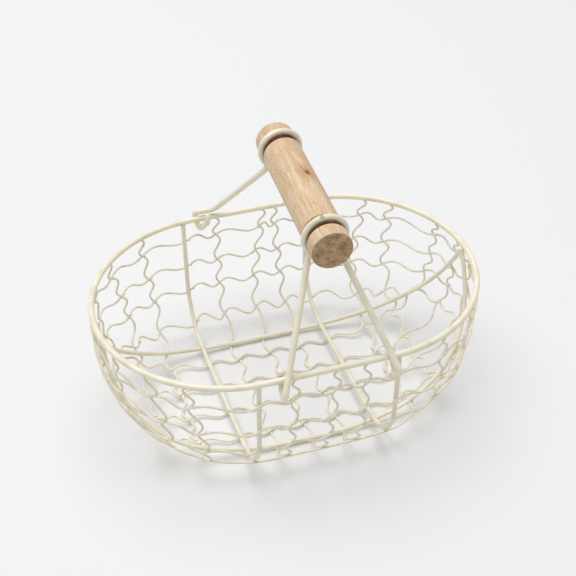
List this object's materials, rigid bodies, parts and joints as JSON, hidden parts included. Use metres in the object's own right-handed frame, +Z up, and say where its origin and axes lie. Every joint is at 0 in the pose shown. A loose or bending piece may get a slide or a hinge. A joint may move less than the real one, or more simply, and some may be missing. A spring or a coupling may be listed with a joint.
{
  "type": "egg collection basket",
  "caption": "Oval egg basket of welded, crimped wire netting on a heavy rim wire and wire ribs, with a turned wooden grip hung in two hooked wire bails.",
  "frame": {"origin": "on the table under the centre of the rim: z = 0 is the underside of the lowest netting wires", "axes": "+X along the basket's length, +Y from the front side to the back side along the grip, +Z up"},
  "size_m": [0.254, 0.191, 0.1782],
  "materials": {
    "frame_wire": "cream powder coat, satin",
    "netting_wire": "cream powder coat, satin",
    "bail_wire": "cream powder coat, satin",
    "wood": "turned hardwood, clear satin"
  },
  "bodies": {
    "basket": {"rim": "frame_wire", "rib_left": "frame_wire", "rib_right": "frame_wire", "long_rib_front": "frame_wire", "long_rib_back": "frame_wire", "wall_ring_1": "netting_wire", "wall_ring_2": "netting_wire", "wall_ring_3": "netting_wire", "wall_ring_4": "netting_wire", "cross_wire_1": "netting_wire", "cross_wire_2": "netting_wire", "cross_wire_3": "netting_wire", "cross_wire_4": "netting_wire", "cross_wire_5": "netting_wire", "cross_wire_6": "netting_wire", "cross_wire_7": "netting_wire", "length_wire_1": "netting_wire", "length_wire_2": "netting_wire", "length_wire_3": "netting_wire", "length_wire_4": "netting_wire"},
    "front_bail": {"front_bail": "bail_wire"},
    "back_bail": {"back_bail": "bail_wire"},
    "grip": {"grip": "wood"}
  },
  "joints": [
    {"name": "front_bail_swing", "type": "hinge", "parent": "basket", "child": "front_bail", "pos_m": [0, -0.085, 0.0936], "axis": [1, 0, 0], "range_deg": [-3.5, 3.5]},
    {"name": "back_bail_swing", "type": "hinge", "parent": "basket", "child": "back_bail", "pos_m": [0, 0.085, 0.0936], "axis": [1, 0, 0], "range_deg": [-3.6, 3.6]},
    {"name": "grip_tilt", "type": "hinge", "parent": "front_bail", "child": "grip", "pos_m": [0.0081, -0.048, 0.163], "axis": [1, 0, 0], "range_deg": [-6.3, 6.3]}
  ],
  "couplings": [
    {"joint": "back_bail_swing", "follows": "front_bail_swing", "ratio": 1},
    {"joint": "grip_tilt", "follows": "front_bail_swing", "ratio": -1.77}
  ]
}
